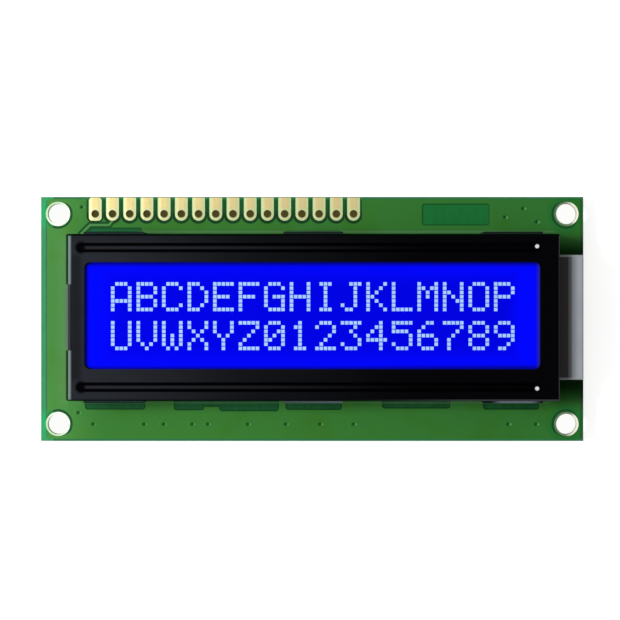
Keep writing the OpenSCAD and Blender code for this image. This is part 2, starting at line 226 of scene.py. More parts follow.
def addPiece(name, shape, material):
    piece = addShape(name, shape, material)
    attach(piece, "root")


# distances in a board's plane, in millimetres, negative inside the shape

def awayFromBox(x, y, box, corner=0.0):
    left, right, low, high = box
    overX = abs(x - (left + right) / 2) - ((right - left) / 2 - corner)
    overY = abs(y - (low + high) / 2) - ((high - low) / 2 - corner)
    if corner == 0:
        return most(overX, overY)
    return diagonal(most(overX, 0), most(overY, 0)) + least(most(overX, overY), 0) - corner


def awayFromPoint(x, y, place):
    return diagonal(x - place[0], y - place[1])


def awayFromPoints(x, y, places):
    return least(*(awayFromPoint(x, y, place) for place in places))


def awayFromLine(x, y, start, end):
    length = math.dist(start, end)
    unitX = (end[0] - start[0]) / length
    unitY = (end[1] - start[1]) / length
    fromX = x - start[0]
    fromY = y - start[1]
    past = most(abs(fromX * unitX + fromY * unitY - length / 2) - length / 2, 0)
    return diagonal(past, fromX * unitY - fromY * unitX)


def awayFromPath(x, y, path):
    return least(*(awayFromLine(x, y, start, end) for start, end in zip(path, path[1:])))


def awayFromRow(x, first, pitch, count):
    # sideways distance to the nearest of a row of places along X
    step = (x - first) / pitch
    step = step.maths("ROUND", step)
    return abs(x - (most(least(step, count - 1), 0) * pitch + first))


# circuit board: green mask over copper, and bare laminate at its edges

boardLow, boardHigh = boxOf("circuit_board")
bezelLow, bezelHigh = boxOf("bezel")

boardLook = {
    "overCopperLeft": (74, 144, 66),
    "overCopperBeside": (86, 148, 80),
    "overCopper": (57, 125, 49),
    "overCopperRight": (48, 114, 45),
    "overLaminateLeft": (24, 101, 52),
    "overLaminateRight": (7, 83, 36),
    "overLaminateBare": (20, 108, 47),
    "overLaminateShade": (12, 48, 18),
    "marginLeft": (66, 152, 102),
    "marginCorner": (46, 176, 108),
    "marginAbove": (46, 118, 76),
    "marginRight": (62, 100, 72),
    "shade": (5, 24, 9),
    "paleLine": (98, 138, 100),
    "traceSheen": (108, 160, 104),
    "glint": (120, 196, 124),
    "via": (0, 62, 14),
    "weave": (40, 120, 66),
    "yellowing": (255, 240, 170),  # multiplied, as the next one
    "rim": (120, 150, 120),
    "laminate": (158, 164, 112),
    "laminateLayer": (128, 140, 90),
    "maskRoughness": 0.4,
    "specular": 0.08,
    "copperHeight": 0.05,
    "traceWidth": 0.42,
    "traceClear": 0.25,
    "ringClear": 1.84,
    "ringClearInwards": 0.32,
    "rearRingClear": 2.04,
    "padClear": 0.32,
    "padClearBelow": 0.12,
    "viaWidth": 0.42,
    "viaRing": 0.52,
    "headerFirst": -32.0,
    "headerPitch": 2.54,
    "headerCount": 16,
    "headerY": 15.5,
    "padHalfWidth": 0.935,
    "padRoundCentre": 15.435,
    "holeX": 37.5,
    "holeY": 15.5,
    "upperPaleLine": 12.86,
    "lowerPaleLine": -12.36,
    "paleLineReach": 0.22,
    "glintShift": (0.36, -0.05),
    # the boxes below are left, right, low and high
    "belowBezel": (-36, 36, -14, -9),
    "frontPour": (-39.1, 39.62, -17.7, 17.7),
    "frontPourCorner": 0.4,
    "rearPours": [
        (-39.3, -33.2, -17.2, 17.2),
        (31.6, 39.3, -17.2, 17.2),
        (-39.3, 39.3, -17.2, -13.4),
    ],
    "rearPourCorner": 0.5,
    "bareCorner": 0.45,
    # where the front has no copper under its mask, the bare panel first
    "bare": [
        (16.2, 26.2, 13.8, 17.0),
        (-32.9, -25.1, 12.2, 13.45),
        (-33.5, -24.6, -13.35, -11.0),
        (-20.4, -15.9, -13.45, -11.0),
        (-16.2, -13.4, -12.95, -11.0),
        (-13.7, -4.9, -13.6, -11.0),
        (-3.9, 4.4, -13.4, -11.0),
        (10.3, 20.4, -13.2, -11.0),
        (25.2, 33.5, -13.35, -11.0),
        (-4.1, 4.4, 12.0, 13.0),
    ],
    "trace": [(-29.4, 14.6), (-29.95, 13.85), (-32.75, 13.85), (-34.1, 12.5)],
    "vias": [
        (-34.0, 16.5), (-34.5, -13.8), (-32.3, -15.5), (-24.8, -15.5), (-21.9, -15.5),
        (-17.7, -15.5), (-15.4, -15.5), (-9.5, -15.5), (-3.9, -15.5), (1.15, -15.5),
        (6.1, -15.5), (28.9, -15.5), (33.0, -15.5), (28.4, 15.0), (31.1, 16.3), (33.1, 14.3),
    ],
}

blockLow, blockHigh = boxOf("backlight_housing")
tabOut = 1.063  # how far the twisted tabs reach past the bezel's sides
legHalf = 4.9  # half the length of the wide leg at the bezel's left side
faceOutline = (bezelLow.x + tabOut, bezelHigh.x, bezelLow.y + tabOut, bezelHigh.y - tabOut)
middleX = (faceOutline[0] + faceOutline[1]) / 2
middleY = (faceOutline[2] + faceOutline[3]) / 2
blockOutline = (bezelHigh.x - 2, blockHigh.x, blockLow.y, blockHigh.y)


def besideHeader(x):
    look = boardLook
    return awayFromRow(x, look["headerFirst"], look["headerPitch"], look["headerCount"])


def awayFromPads(x, y):
    below = least(y - boardLook["padRoundCentre"], 0)
    return diagonal(besideHeader(x), below) - boardLook["padHalfWidth"]


def awayFromRings(x, y):
    return awayFromPoint(abs(x), abs(y), (boardLook["holeX"], boardLook["holeY"]))


def inwards(x, y):
    # from -1.5 to 1.5 across a mounting ring, towards the middle of the board
    look = boardLook
    return (look["holeX"] + look["holeY"] - abs(x) - abs(y)) * 0.7


def frontCopper(x, y):
    # distance to the bare places of the front, negative in them
    look = boardLook
    bare = awayFromBox(x, y, look["frontPour"], look["frontPourCorner"]) * -1
    ringClear = fade(inwards(x, y), -1, 1) * look["ringClearInwards"] + look["ringClear"]
    padClear = fade(y, 15.6, 14.6) * look["padClearBelow"] + look["padClear"]
    bare = least(bare, awayFromRings(x, y) - ringClear, awayFromPads(x, y) - padClear)
    for box in look["bare"]:
        bare = least(bare, awayFromBox(x, y, box, look["bareCorner"]))
    path = awayFromPath(x, y, look["trace"]) - look["traceWidth"] / 2
    return most(least(bare, path - look["traceClear"]), path * -1)


def rearCopper(x, y):
    # pours round the edge, and bare strips round the rings and pads
    look = boardLook
    pours = (awayFromBox(x, y, box, look["rearPourCorner"]) for box in look["rearPours"])
    pads = awayFromPads(x, y) - look["padClear"]
    shown = least(least(*pours) * -1, awayFromRings(x, y) - look["rearRingClear"], pads)
    return most(shown, pads * -1)


def finishBoard():
    look = boardLook
    finish = Finish("greenBoard")
    x, y, z = finish.x, finish.y, finish.z
    thick = boardHigh.z - boardLow.z
    front = z > thick / 2
    edge = most(z < skin, z > thick - skin)  # 1 on both faces, 0 on the sawn sides

    copper = front * frontCopper(x, y) + (1 - front) * rearCopper(x, y)
    cover = fade(copper, -0.06, 0.06)
    rim = fade(abs(copper), 0.28, 0.02)

    # the mask is painted lighter to the left and darker to the right, over copper and without it, as
    # painted light from the left, and lighter still left of the bezel
    across = fade(x, -30, 38)
    cloud = finish.noise(0.22, 3)
    weave = finish.noise(1.6, 2, (1, 0.35, 1))
    overCopper = finish.mix(fade(x, -39, -30), look["overCopperLeft"], look["overCopper"])
    overCopper = finish.mix(across, overCopper, look["overCopperRight"])
    beside = fade(x, -38.6, -36.6) * (x < -36) * fade(abs(y), 14.5, 10)
    overCopper = finish.mix(beside, overCopper, look["overCopperBeside"])

    # without copper the mask is paler along the board's edges, round the left holes and in the panel;
    # along the left edge and round the left holes it is painted paler still, as painted light shining
    # through the laminate
    fromRing = awayFromRings(x, y)
    inward = inwards(x, y)
    nearRing = fade(fromRing, 3.4, 2.2) * front
    overLaminate = finish.mix(across, look["overLaminateLeft"], look["overLaminateRight"])
    panel = fade(awayFromBox(x, y, look["bare"][0], look["bareCorner"]), 0.1, -0.1) * front
    margins = [
        (fade(abs(y), 17.6, 17.72) * front, "marginAbove"),
        (fade(x, 39.6, 39.75) * front, "marginRight"),
        (fade(x, -38.95, -39.15) * front, "marginLeft"),
        (nearRing * (x < -38.2), "marginCorner"),
        (panel, "overLaminateBare"),
    ]
    for place, name in margins:
        overLaminate = finish.mix(place, overLaminate, look[name])
    # painted shade: the bare mask is darker on the inward side of the rings, below the pads and in the
    # bare patches below the bezel
    dim = fade(fromRing, 2.6, 2.2) * fade(inward, -0.4, 1.2) * (0.2 + across * 0.6)
    dim = most(dim, fade(awayFromPads(x, y), 0.6, 0.2) * fade(y, 16.4, 15.2) * 0.8)
    dim = most(dim, fade(awayFromBox(x, y, look["belowBezel"]), 0.1, -0.1) * 0.4)
    overLaminate = finish.mix(dim * front, overLaminate, look["overLaminateShade"])

    mask = finish.mix(cover, overLaminate, overCopper)
    mask = finish.mix(nearRing * (x > 0) * 0.6, mask, look["overLaminateBare"])
    sheen = fade(awayFromPath(x, y, look["trace"]), 0.2, 0.05) * front
    mask = finish.mix(sheen * 0.45, mask, look["traceSheen"])
    yellowish = finish.mix(1, mask, look["yellowing"], "MULTIPLY")
    mask = finish.mix(fade(cloud, 0.45, 0.75) * cover * 0.6, mask, yellowish)
    mask = finish.mix(fade(weave, 0.3, 0.8) * (1 - cover) * 0.22, mask, look["weave"])
    darker = finish.mix(1, mask, look["rim"], "MULTIPLY")
    rim = rim * (1 - cover) * (1 - fade(abs(y), 17.4, 17.6) * front)
    mask = finish.mix(rim * 0.75, mask, darker)

    hole = awayFromPoints(x, y, look["vias"])
    viaDark = fade(hole, look["viaWidth"] * 0.75, look["viaWidth"] * 0.3)
    viaRing = fade(abs(hole - look["viaRing"]), 0.22, 0.04)
    glint = awayFromPoints(x - look["glintShift"][0], y - look["glintShift"][1], look["vias"])
    mask = finish.mix(fade(glint, 0.26, 0.08) * (0.12 + across * 0.3), mask, look["glint"])
    mask = finish.mix(viaDark * 0.9, mask, look["via"])

    # painted shade on the mask in the narrow places beside the bezel and the end block, without gloss
    # there
    fromMiddle = abs(y - middleY)
    shaded = fade(awayFromBox(x, y, faceOutline), 0.86, 0.7) * (x < middleX)
    shaded = shaded * fade(fromMiddle, legHalf - 0.2, legHalf) * fade(fromMiddle, 12.3, 12.1) * 0.8
    lower = y < middleY
    fromBlock = awayFromBox(x, y, blockOutline) - 0.3 - lower * 0.5
    corner = fade(fromBlock / (3.1 + lower * 1.1), 1, 0)
    shaded = most(shaded, corner * fade(x, 35, 36.2) * (0.87 + lower * 0.06)) * front
    mask = finish.mix(shaded, mask, look["shade"])

    # pale lines on the mask run along the bezel's long sides
    upper = fade(abs(y - look["upperPaleLine"]), look["paleLineReach"], 0.1) * fade(abs(x - 5), 31.5, 29.5)
    under = fade(abs(y - look["lowerPaleLine"]), look["paleLineReach"], 0.1) * fade(abs(x), 35.4, 34.6)
    mask = finish.mix(most(upper * 0.5, under * 0.3) * front, mask, look["paleLine"])

    layers = finish.noise(0.9, 2, (0.6, 0.6, 7))
    side = finish.mix(fade(layers, 0.3, 0.7) * 0.45, look["laminate"], look["laminateLayer"])

    texture = finish.noise(5.5)
    maskHeight = cover - viaDark * 1.6 + viaRing * 0.4 + texture * 0.12
    height = edge * maskHeight + layers * (1 - edge) * 0.5
    return finish.surface({
        "Base Color": finish.mix(edge, side, mask),
        "Roughness": look["maskRoughness"] + edge * (cloud * 0.1 - 0.05) + (1 - edge) * 0.35,
        "Normal": finish.bump(height, look["copperHeight"]),
        "Specular IOR Level": look["specular"],
    }, shaded)


dress(finishBoard(), "circuit_board")
print("circuit board done; the bezel's face ends at", [round(value, 3) for value in faceOutline])


# header pads and mounting rings: plated metal

platingLook = {
    "padLeft": (228, 212, 144),
    "padRight": (204, 190, 133),
    "padEdgeLeft": (212, 224, 172),
    "padEdgeRight": (191, 210, 152),
    "holeRimShade": (62, 44, 18),
    "ringOut": (178, 212, 168),
    "ringIn": (232, 238, 224),
    "ringRight": (250, 250, 230),
    "ringShade": (96, 122, 94),
    "barrelShade": (70, 48, 18),
    "padBlotch": (214, 176, 104),
    "ringBlotch": (176, 168, 120),
    "ringBarrel": (70, 60, 42),
    "ringBarrelRight": (206, 206, 186),
    "roughness": 0.34,
    "padMetal": 0.35,
    "ringMetal": 0.3,
    "blotchHeight": 0.03,
}


def inBarrel(z):
    return least(z < boardHigh.z + skin, z > -skin)


def finishPads():
    look = platingLook
    finish = Finish("headerPlating")
    x, y = finish.x, finish.y
    beside = besideHeader(x)
    fromHole = diagonal(beside, y - boardLook["headerY"])
    border = most(fade(beside, 0.42, 0.8), fade(fromHole, 0.95, 0.6), fade(y, 14.9, 14.6))
    blotch = finish.noise(1.3, 3)
    centre = finish.mix(fade(x, -33, 0), look["padLeft"], look["padRight"])
    centre = finish.mix(fade(blotch, 0.4, 0.75) * 0.4, centre, look["padBlotch"])
    paler = finish.mix(fade(x, -33, -14), look["padEdgeLeft"], look["padEdgeRight"])
    tint = finish.mix(border * 0.9, centre, paler)
    # painted shade: a dark ring on each pad round its hole, and the barrel of the hole painted dark brown
    tint = finish.mix(fade(fromHole, 0.64, 0.54) * 0.9, tint, look["holeRimShade"])
    inside = inBarrel(finish.z)
    height = fade(beside, 0.95, 0.3) * 0.8 + blotch * 0.35
    return finish.surface({
        "Base Color": finish.mix(inside, tint, look["barrelShade"]),
        "Metallic": look["padMetal"] - inside * 0.2,
        "Roughness": look["roughness"] + blotch * 0.14 + inside * 0.4,
        "Normal": finish.bump(height, look["blotchHeight"]),
    })


def finishRings():
    look = platingLook
    finish = Finish("ringPlating")
    x, y = finish.x, finish.y
    blotch = finish.noise(2.6, 3)
    # painted shade on the right rings towards the middle of the board and painted light on their outer
    # side; the left rings are greener outwards and whiter inwards
    inward = inwards(x, y)
    leftTint = finish.mix(fade(inward, -1.4, 0.5), look["ringOut"], look["ringIn"])
    outRight = fade(x - boardLook["holeX"], -0.4, 1.3) * fade(inward, 0.9, -0.2)
    rightTint = finish.mix(outRight, look["ringShade"], look["ringRight"])
    tint = finish.mix(x > 0, leftTint, rightTint)
    tint = finish.mix(fade(blotch, 0.42, 0.68) * 0.25, tint, look["ringBlotch"])
    # painted shade in the barrels, with painted light on the outer side of the right rings' barrels
    inner = finish.mix(outRight, look["ringBarrel"], look["ringBarrelRight"])
    return finish.surface({
        "Base Color": finish.mix(inBarrel(finish.z) * 0.9, tint, inner),
        "Metallic": look["ringMetal"],
        "Roughness": look["roughness"] + blotch * 0.2,
        "Normal": finish.bump(blotch, look["blotchHeight"]),
        "Specular IOR Level": 0.1,
    })


dress(finishPads(), "header_pads")
dress(finishRings(), "mounting_rings")

# each metal: main colour, stain, roughness, size of the grain, its height, and the solids
metalLook = {
    "goldPlating": ((226, 182, 96), (196, 146, 70), 0.28, 3.0, 0.02, ["upper_contacts", "lower_contacts"]),
    "tinnedPads": ((206, 206, 204), (172, 172, 170), 0.32, 3.0, 0.02, ["lead_pads", "chip_pads"]),
    "tinnedEnds": ((214, 214, 212), (164, 162, 158), 0.30, 4.0, 0.02, ["chip_ends"]),
    "solderMetal": ((196, 198, 202), (150, 152, 156), 0.26, 2.0, 0.04, ["lead_solder"]),
    "leadWire": ((204, 204, 206), (158, 156, 152), 0.30, 3.5, 0.02, ["backlight_leads"]),
}


def finishMetal(name, tint, stain, roughness, grain, depth):
    finish = Finish(name)
    blotch = finish.noise(grain, 3)
    fine = finish.noise(grain * 6)
    return finish.surface({
        "Base Color": finish.mix(fade(blotch, 0.4, 0.7), tint, stain),
        "Metallic": 0.9,
        "Roughness": roughness + blotch * 0.18,
        "Normal": finish.bump(blotch * 0.8 + fine * 0.3, depth),
    })


metals = {}
for name, (*look, solids) in metalLook.items():
    metals[name] = finishMetal(name, *look)
    dress(metals[name], *solids)
print("plated and tinned metal done")


# bezel: black paint on pressed steel

bezelLook = {
    "paintLeft": (35, 38, 44),
    "paintMiddle": (10, 12, 16),
    "paintRight": (0, 0, 2),
    "paintDeep": (1, 1, 2),
    "paintSide": (17, 18, 22),
    "grooveFloorLeft": (38, 39, 44),
    "grooveFloorRight": (3, 3, 5),
    "foldLeft": (110, 130, 122),
    "foldLeg": (98, 122, 104),
    "foldSheenAndTipWear": (44, 44, 46),
    "foldBelow": (68, 72, 80),
    "foldShade": (5, 13, 10),
    "stepLeft": (90, 120, 94),
    "stepAboveLeft": (32, 50, 44),
    "stepAboveRight": (26, 40, 32),
    "stepBelowLeft": (28, 54, 47),
    "stepBelowRight": (108, 118, 128),
    "stepBelowEnd": (14, 27, 28),
    "grooveEndGlint": (232, 232, 234),
    "haze": (16, 15, 18),
    "grooveInset": 2.0,
    "grooveStart": -33.425,
    "grooveEnd": 32.525,
    "grooveFloor": 0.22,
    "grooveSide": 0.7,
    "foldDepth": 0.62,
    "stepStart": 0.56,
    "stepEnd": 1.36,
    "sideStart": 1.4,
    "tip": -1.72,
    "roughness": 0.3,
    "peelHeight": 0.012,
    "sideGloss": 0.3,
}


def finishBezel():
    look = bezelLook
    finish = Finish("blackBezel")
    x, y, z = finish.x, finish.y, finish.z
    left, right, low, high = faceOutline
    face = bezelHigh.z
    fromMiddle = abs(y - middleY)
    peel = finish.noise(3.2)
    broad = finish.noise(0.12, 2, (1, 2.5, 1))

    # the face is painted lighter to the left and black to the right, a painted reflection of light from
    # the left
    paint = finish.mix(fade(x, -34, -6), look["paintLeft"], look["paintMiddle"])
    paint = finish.mix(fade(x, -12, 16), paint, look["paintRight"])
    paint = finish.mix(fade(broad, 0.35, 0.7) * fade(x, 30, -20) * 0.2, paint, look["haze"])
    # the face is darker along its top edge and left of the window
    beyondGroove = fade(x, -33.0, -33.9) * fade(fromMiddle, 9.5, 8.5)
    darkerFace = most(fade(y, 10.9, 11.5) * 0.6, beyondGroove * 1.5)
    paint = finish.mix(darkerFace * 0.3, paint, look["paintDeep"])

    side = face - look["sideStart"]
    onSide = fade(z, side, side - 0.8)
    paint = finish.mix(onSide, paint, look["paintSide"])

    # painted shade on the sides of the two grooves and in a pool at their left ends, without gloss there,
    # and a painted highlight along their floors, fading out to the right
    grooveY = (high - low) / 2 - look["grooveInset"]
    start, end = (look["grooveStart"], grooveY), (look["grooveEnd"], grooveY)
    across = awayFromLine(x, fromMiddle, start, end)
    pool = fade(x, -32.6, -33.4) * fade(across, 1.15, 0.6)
    groove = most(fade(across, look["grooveSide"] + 0.06, look["grooveSide"] - 0.06), pool)
    paint = finish.mix(groove * 0.95, paint, look["paintDeep"])
    floor = fade(across, look["grooveFloor"] + 0.05, look["grooveFloor"] - 0.05)
    floorPaint = finish.mix(fade(x, -34, 20), look["grooveFloorLeft"], look["grooveFloorRight"])
    paint = finish.mix(floor * fade(x, -33.1, -32.7), paint, floorPaint)
    # a painted glint at the right end of each groove
    glintSpot = awayFromPoint(x, fromMiddle, (look["grooveEnd"] + 0.03, grooveY + 0.2))
    paint = finish.mix(fade(glintSpot, 0.36, 0.2), paint, look["grooveEndGlint"])

    # a painted highlight on the left fold, shifted outwards beside the leg, and on the right fold; painted
    # shade on the other folds, but a painted highlight on the bottom fold towards the right
    fold = face - look["foldDepth"]
    onFold = fade(z, fold, fold + 0.12)
    besideLeg = fade(fromMiddle, legHalf, legHalf - 0.2)
    foldHighlight = fade(x, left + 0.12, left + 0.34) * fade(x, left + 0.8, left + 0.42)
    foldHighlight = (foldHighlight + (fade(x, left + 0.4, left - 0.05) - foldHighlight) * besideLeg) * onFold
    foldPaint = finish.mix(besideLeg, look["foldLeft"], look["foldLeg"])
    paint = finish.mix(foldHighlight, paint, foldPaint)
    rightFold = fade(x, right - 0.22, right - 0.1) * onFold
    paint = finish.mix(rightFold * 0.85, paint, look["foldSheenAndTipWear"])
    rightwards = fade(x, 5, 30)
    shaded = fade(x, left + 0.22, left + 0.1) * (1 - besideLeg)
    shaded = most(shaded, fade(y, high - 0.34, high - 0.24), fade(y, low + 0.26, low + 0.14))
    shaded = shaded * onFold
    foldShade = finish.mix(rightwards * (y < 0), look["foldShade"], look["foldBelow"])
    paint = finish.mix(shaded * 0.95, paint, foldShade)

    # painted reflections of the colours around them on the steps of the legs, with a painted highlight on
    # the bottom ones towards the right
    top, foot = face - look["stepStart"], face - look["stepEnd"]
    onStep = fade(z, foot, foot + 0.16) * fade(z, top, top - 0.08)
    rightwards = fade(x, -30, 30)
    above = finish.mix(rightwards, look["stepAboveLeft"], look["stepAboveRight"])
    below = finish.mix(rightwards, look["stepBelowLeft"], look["stepBelowRight"])
    below = finish.mix(fade(abs(x - 29.6), 1.9, 3.8) * (x > 22), below, look["stepBelowEnd"])
    step = finish.mix(y > 0, below, above)
    step = finish.mix(x < left - 0.01, step, look["stepLeft"])
    onStep = onStep * fade(awayFromBox(x, y, faceOutline), 0.02, 0.08)
    paint = finish.mix(onStep * 0.95, paint, step)
    wornTip = fade(z, look["tip"], look["tip"] - 0.16)
    paint = finish.mix(wornTip * 0.8, paint, look["foldSheenAndTipWear"])
    return finish.surface({
        "Base Color": paint,
        "Roughness": look["roughness"] + peel * 0.1,
        "Normal": finish.bump(peel, look["peelHeight"]),
        "Specular IOR Level": 0.02,
        "Coat Weight": fade(x, 30, -38) * 0.05 + onSide * look["sideGloss"],
        "Coat Roughness": 0.2,
    }, most(shaded, onStep, groove * 0.8))


blackBezel = finishBezel()
dress(blackBezel, "bezel")

cornerLook = {
    "fold": 0.6,
    "foot": 2.8,
    "rounding": 0.15,
    "steps": 6,
    "turns": 3,
}


def bezelCorners():
    # pressed corners between the folded sides, each one convex
    look = cornerLook
    left, right, low, high = faceOutline
    fold, foot = look["fold"], look["foot"]
    places = [(0, 0, bezelHigh.z), (0, 0, foot)]
    for step in range(1, look["steps"] + 1):
        angle = math.pi / 2 * step / look["steps"]
        reach = fold * math.sin(angle)
        rounding = min(look["rounding"], reach)
        outline = [(reach, 0), (0, reach)]
        for turn in range(look["turns"] + 1):
            turned = math.pi / 2 * turn / look["turns"]
            backX = rounding * (1 - math.cos(turned))
            backY = rounding * (1 - math.sin(turned))
            outline.append((reach - backX, reach - backY))
        places += [(*place, bezelHigh.z - fold * (1 - math.cos(angle))) for place in outline]
    places += [(*place, foot) for place in outline]
    shape = bmesh.new()
    for cornerX, outX in ((left + fold, -1), (right - fold, 1)):
        for cornerY, outY in ((low + fold, -1), (high - fold, 1)):
            corners = [shape.verts.new((cornerX + alongX * outX, cornerY + alongY * outY, height))
                       for alongX, alongY, height in places]
            bmesh.ops.convex_hull(shape, input=corners)
    loose = [corner for corner in shape.verts if not corner.link_faces]
    bmesh.ops.delete(shape, geom=loose, context="VERTS")
    bmesh.ops.recalc_face_normals(shape, faces=shape.faces)
    addPiece("bezel_corners", shape, blackBezel)


bezelCorners()
print("bezel done")


# display face and its lit characters

displayLook = {
    "blue": (0, 4, 236),
    "rightBlue": (0, 4, 248),
    "textBlue": (0, 1, 213),
    "shadowBlue": (0, 2, 112),
    "rightHighlight": (34, 36, 158),
    "deepShadeBlue": (2, 3, 14),
    "veil": (0, 10, 240),
    "window": (-33.0, 33.0, -7.25, 8.25),
    "textArea": (-27.5, 27.5, -3.5, 4.5),
    "cornerShade": 1.5,
    "glow": 0.15,
}


def finishDisplay():
    look = displayLook
    finish = Finish("blueDisplay")
    x, y = finish.x, finish.y
    left, right, low, high = look["window"]
    # painted shadow of the bezel along the window's left, top and bottom edges
    lower = fade(y - fade(x, 0, 30) * 0.2, low + 0.65, low - 0.05) * 0.9
    bezelShadow = most(fade(x, left + 0.75, left + 0.1), fade(y, high - 0.75, high - 0.15), lower)
    veil = finish.noise(0.35)
    amongText = fade(awayFromBox(x, y, look["textArea"]), 3.5, 0)
    shade = finish.mix(fade(x, -10, 33), look["blue"], look["rightBlue"])
    shade = finish.mix(amongText, shade, look["textBlue"])
    shade = finish.mix(bezelShadow * 0.85, shade, look["shadowBlue"])
    # a painted highlight along the window's right edge
    shade = finish.mix(fade(x, right - 0.65, right - 0.1), shade, look["rightHighlight"])
    shade = finish.mix(fade(veil, 0.3, 0.8) * 0.08, shade, look["veil"])
    # painted shade where the face lies under the bezel and in the window's left corners
    shadeUnderBezel = fade(awayFromBox(x, y, look["window"]), 0.25, 0.45)
    corner = fade(awayFromBox(x, y, look["window"], look["cornerShade"]), -0.05, 0.15) * (x < 0)
    shade = finish.mix(most(shadeUnderBezel, corner), shade, look["deepShadeBlue"])
    return finish.surface({
        "Base Color": shade,
        "Roughness": 0.2 + veil * 0.05,
        "Specular IOR Level": 0.02,
        "Emission Color": shade,
        "Emission Strength": look["glow"],
        "Normal": finish.bump(finish.noise(9), 0.002),
    })


dress(finishDisplay(), "front_polarizer")

dotLook = {
    "lines": ("ABCDEFGHIJKLMNOP", "UVWXYZ0123456789"),
    "size": 0.5,
    "pitch": 0.6166,
    "linePitch": 5.64,
    "rows": 7,
    "columns": 5,
    "middle": (0.08, 0.43),
    "thick": 0.012,
    "lit": (154, 186, 228),
    "litDimmer": (144, 178, 224),
    "glow": 0.3,
}
# seven rows of five dots each, as one two-digit hexadecimal number a row
dotFont = {
    "A": "0E1111111F1111", "B": "1E11111E11111E", "C": "0E11101010110E",
    "D": "1C12111111121C", "E": "1F10101E10101F", "F": "1F10101E101010",
    "G": "0E11101711110F", "H": "1111111F111111", "I": "0E04040404040E",
    "J": "0702020202120C", "K": "11121418141211", "L": "1010101010101F",
    "M": "111B1515111111", "N": "11111915131111", "O": "0E11111111110E",
    "P": "1E11111E101010", "U": "1111111111110E", "V": "11111111110A04",
    "W": "1111111515150A", "X": "11110A040A1111", "Y": "1111110A040404",
    "Z": "1F01020408101F", "0": "0E11131519110E", "1": "040C040404040E",
    "2": "0E11010204081F", "3": "1F02040201110E", "4": "02060A121F0202",
    "5": "1F101E0101110E", "6": "0608101E11110E", "7": "1F010204080808",
    "8": "0E11110E11110E", "9": "0E11110F01020C",
}


def litCharacters():
    look = dotLook
    top = boxOf("front_polarizer")[1].z
    step = look["columns"] + 1  # one dark column between two characters
    columns = step * len(look["lines"][0]) - 1
    startX = look["middle"][0] - (columns - 1) / 2 * look["pitch"]
    startY = look["middle"][1] + look["linePitch"] / 2 + (look["rows"] - 1) / 2 * look["pitch"]
    size = Matrix.Diagonal((look["size"], look["size"], look["thick"], 1))
    shape = bmesh.new()
    for lineNumber, text in enumerate(look["lines"]):
        for place, character in enumerate(text):
            for row in range(look["rows"]):
                bits = int(dotFont[character][2 * row:2 * row + 2], 16)
                for column in range(look["columns"]):
                    if not (bits >> (look["columns"] - 1 - column)) & 1:
                        continue
                    dotX = startX + (place * step + column) * look["pitch"]
                    dotY = startY - lineNumber * look["linePitch"] - row * look["pitch"]
                    centre = Matrix.Translation((dotX, dotY, top + look["thick"] / 2))
                    bmesh.ops.create_cube(shape, size=1, matrix=centre @ size)
    finish = Finish("litDots")
    uneven = finish.noise(0.8)
    shade = finish.mix(fade(uneven, 0.35, 0.7), look["lit"], look["litDimmer"])
    material = finish.surface({
        "Base Color": shade,
        "Roughness": 0.5,
        "Specular IOR Level": 0.1,
        "Emission Color": shade,
        "Emission Strength": look["glow"],
    })
    addPiece("lit_characters", shape, material)


litCharacters()
print("display done")


# glass, films and the backlight

glassLook = {
    "clear": (214, 232, 232),
    "clearDimmer": (204, 226, 228),
    "roughness": 0.04,
    "transmission": 0.85,
    "refraction": 1.5,
}


def finishGlass():
    look = glassLook
    finish = Finish("cellGlass")
    haze = finish.noise(0.6)
    return finish.surface({
        "Base Color": finish.mix(fade(haze, 0.3, 0.7), look["clear"], look["clearDimmer"]),
        "Roughness": look["roughness"] + haze * 0.03,
        "Transmission Weight": look["transmission"],
        "IOR": look["refraction"],
    })


# each plastic: its solid, two tints, roughness, size of the mottling, height of the grain
plasticLook = {
    "sealBead": ("cell_seal", (206, 202, 184), (190, 184, 164), 0.5, 2.0, 0.01),
    "rearFilm": ("rear_polarizer", (42, 50, 112), (36, 42, 98), 0.25, 0.5, 0.003),
    "diffuserFilm": ("diffuser_film", (240, 240, 238), (232, 233, 232), 0.55, 2.5, 0.004),
    "reflectorFilm": ("reflector_film", (246, 246, 243), (238, 238, 236), 0.45, 2.5, 0.004),
    "lightGuide": ("light_guide", (226, 238, 242), (218, 232, 238), 0.12, 0.8, 0.003),
    "ledStrip": ("led_strip", (220, 224, 216), (206, 210, 202), 0.4, 2.0, 0.01),
    "ledPackage": ("backlight_leds", (246, 240, 206), (240, 228, 168), 0.35, 2.0, 0.01),
    "capacitorCeramic": ("chip_capacitors", (178, 142, 104), (162, 126, 88), 0.5, 3.0, 0.01),
}


def finishPlastic(name, tint, other, roughness, scale, depth):
    finish = Finish(name)
    broad = finish.noise(scale, 3)
    fine = finish.noise(scale * 9)
    return finish.surface({
        "Base Color": finish.mix(fade(broad, 0.35, 0.65), tint, other),
        "Roughness": roughness + fine * 0.12,
        "Normal": finish.bump(fine * 0.6 + broad * 0.4, depth),
        "Specular IOR Level": 0.4,
    })


for name, (solid, *look) in plasticLook.items():
    dress(finishPlastic(name, *look), solid)

housingLook = {
    "shadeUnderBezel": (38, 35, 36),
    # painted shade under the bezel, then lighter bands towards the right end and a darker line at the end:
    # where each band starts and ends to show, and its colour
    "bands": [
        (37.2, 37.4, (84, 84, 84)),
        (37.7, 37.9, (124, 130, 135)),
        (37.9, 39.0, (156, 162, 167)),
        (39.33, 39.42, (104, 108, 110)),
    ],
    "mottling": (128, 130, 146),
    "edge": (150, 156, 156),
    "edgeInset": 8.72,
    "roughness": 0.42,
    "grainHeight": 0.012,
}


